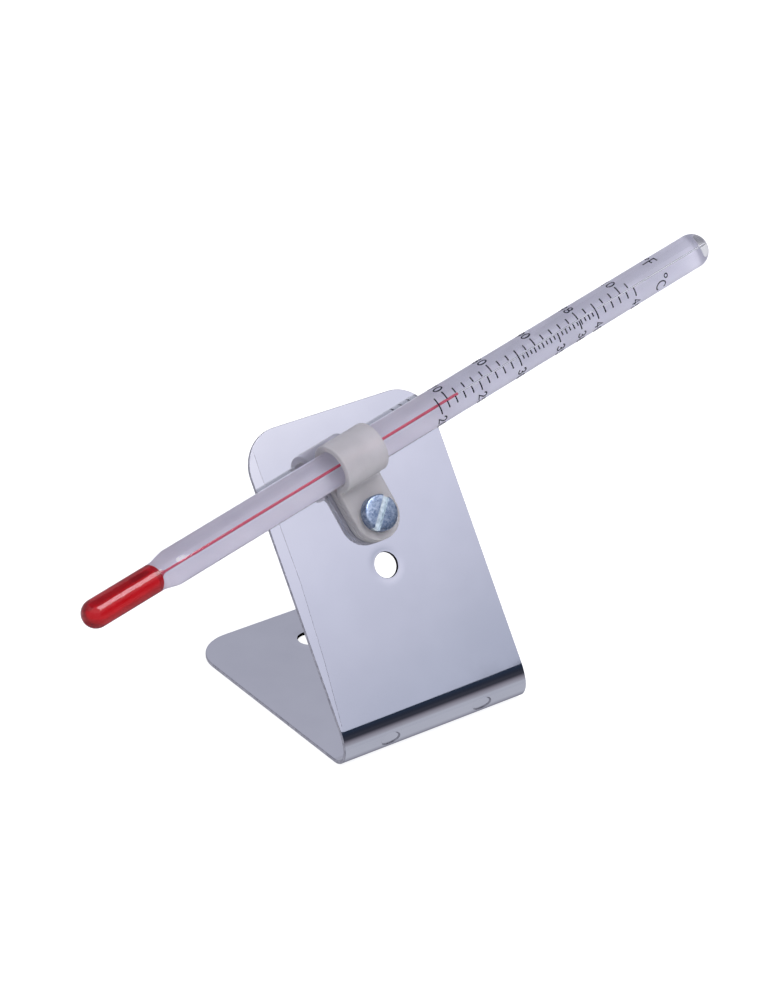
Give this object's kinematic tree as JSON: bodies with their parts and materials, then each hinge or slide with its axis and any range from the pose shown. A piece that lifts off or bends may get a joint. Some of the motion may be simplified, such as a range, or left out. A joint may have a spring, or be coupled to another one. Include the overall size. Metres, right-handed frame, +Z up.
{
  "type": "proving cabinet thermometer",
  "caption": "Spirit-in-glass rod thermometer with a low-range double scale, held in a nylon P-clip on a bent sheet-metal easel stand.",
  "frame": {"origin": "centre of the base screw hole, on the underside of the base", "axes": "+X across the stand towards the scale's high end, the panel faces -Y, +Z up"},
  "size_m": [0.1561, 0.0535, 0.0672],
  "materials": {
    "polished_sheet": "mirror polished stainless sheet",
    "natural_nylon": "translucent natural nylon, satin",
    "zinc_plate": "blue zinc plate",
    "spring_steel": "zinc plated spring steel",
    "stem_glass": "polished glass with a white back",
    "bulb_glass": "clear polished glass",
    "white_enamel": "opaque white enamel glass",
    "red_spirit": "dyed liquid",
    "scale_ink": "fired black print"
  },
  "bodies": {
    "stand": {"stand": "polished_sheet", "clip_screw": "zinc_plate", "plain_washer": "zinc_plate", "spring_washer": "spring_steel", "hex_nut": "zinc_plate"},
    "clip": {"p_clip": "natural_nylon"},
    "thermometer": {"stem_glass": "stem_glass", "bulb_glass": "bulb_glass", "enamel_strip": "white_enamel", "spirit_reservoir": "red_spirit", "celsius_scale": "scale_ink", "fahrenheit_scale": "scale_ink"},
    "column": {"spirit_column": "red_spirit"}
  },
  "joints": [
    {"name": "clip_swivel", "type": "hinge", "parent": "stand", "child": "clip", "pos_m": [0, -0.02027, 0.03701], "axis": [0, -0.8192, 0.5736], "range_deg": [-40, 38]},
    {"name": "stem_slide", "type": "slide", "parent": "clip", "child": "thermometer", "axis": [0.981, 0.1114, 0.1591], "range_m": [-0.03, 0.036]},
    {"name": "column_rise", "type": "slide", "parent": "thermometer", "child": "column", "axis": [0.981, 0.1114, 0.1591], "range_m": [-0.0062, 0.0459]}
  ]
}
